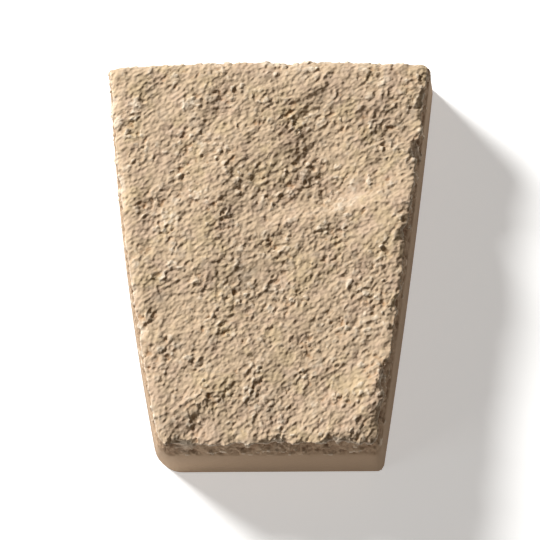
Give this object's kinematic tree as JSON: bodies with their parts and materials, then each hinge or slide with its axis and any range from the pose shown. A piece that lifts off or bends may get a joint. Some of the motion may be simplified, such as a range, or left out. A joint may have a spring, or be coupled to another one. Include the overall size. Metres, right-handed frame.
{
  "type": "keystone",
  "caption": "Wedge-shaped cast-stone keystone with a broken rock face, a chipped arris, smooth raked sides and a flat back, for the crown of an arch or the head of an opening.",
  "frame": {"origin": "centre of the flat back, on which the stone lies", "axes": "+Z out of the rock face, +Y from the narrow underside to the wide top, +X to the right of someone who looks at the face"},
  "size_m": [0.2064, 0.254, 0.0635],
  "materials": {
    "cast_stone": "matt, buff cast stone, broken rough on the face and smooth from the mould on the sides and back"
  },
  "bodies": {
    "root": {"keystone": "cast_stone"}
  },
  "joints": []
}
